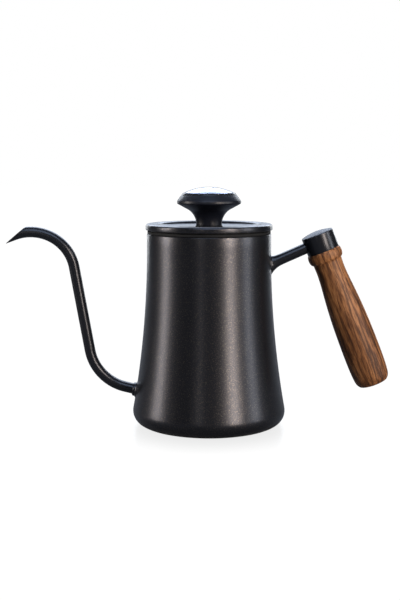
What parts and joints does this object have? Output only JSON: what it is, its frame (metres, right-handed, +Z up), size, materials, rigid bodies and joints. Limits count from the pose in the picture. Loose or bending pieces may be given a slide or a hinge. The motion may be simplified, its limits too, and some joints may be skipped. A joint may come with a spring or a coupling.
{
  "type": "gooseneck kettle",
  "caption": "Waisted metal pour-over kettle with a slim gooseneck spout, slanted wooden handle and a lift-off lid whose knob holds a dial thermometer.",
  "frame": {"origin": "centre of the flat base, on the body's axis", "axes": "+Z up along the body's axis, +X towards the handle, -X towards the spout, -Y the side it is seen from with the spout on the left"},
  "size_m": [0.2435, 0.0972, 0.151],
  "materials": {
    "body_coating": "satin gunmetal coating with fine metallic fleck",
    "gloss_coating": "glossy black coating",
    "steel": "plain stainless steel",
    "walnut": "oiled walnut, grain along the handle",
    "silicone": "black food-grade silicone",
    "knob_black": "black heat-resistant moulding",
    "dial_metal": "brushed dial with printed scales",
    "clear": "clear domed window",
    "bimetal": "bimetal strip",
    "pointer_red": "red enamel",
    "pin_metal": "polished pin"
  },
  "bodies": {
    "kettle": {"body_shell": "body_coating", "base_plate": "body_coating", "spout_tube": "gloss_coating", "spout_collar": "gloss_coating", "handle_arm": "gloss_coating", "handle_cap": "gloss_coating", "cap_boss": "steel", "handle_grip": "walnut", "handle_washer": "steel", "handle_spring_washer": "steel", "handle_bolt": "steel"},
    "lid_seal": {"lid_gasket": "silicone"},
    "lid": {"lid_pan": "body_coating", "lid_skirt": "steel", "knob_seal": "silicone", "knob": "knob_black", "knob_stud": "steel", "nut_washer": "steel", "knob_nut": "steel", "thermometer_case": "steel", "dial_plate": "dial_metal", "lens_gasket": "silicone", "lens": "clear", "bezel_ring": "knob_black", "probe_tube": "steel", "probe_tip": "steel", "bimetal_coil": "bimetal"},
    "pointer": {"pointer_needle": "pointer_red", "pointer_hub": "pin_metal", "pointer_cap": "knob_black", "pointer_spindle": "pin_metal"}
  },
  "joints": [
    {"name": "lid_lift", "type": "slide", "parent": "kettle", "child": "lid_seal", "axis": [0, 0, 1], "range_m": [0, 0.13]},
    {"name": "lid_turn", "type": "hinge", "parent": "lid_seal", "child": "lid", "pos_m": [0, 0, 0.1245], "axis": [0, 0, 1], "continuous": true},
    {"name": "pointer_turn", "type": "hinge", "parent": "lid", "child": "pointer", "pos_m": [0, 0, 0.145], "axis": [0, 0, 1], "range_deg": [-229, 71], "stiffness_Nm_per_rad": 0.00001}
  ]
}
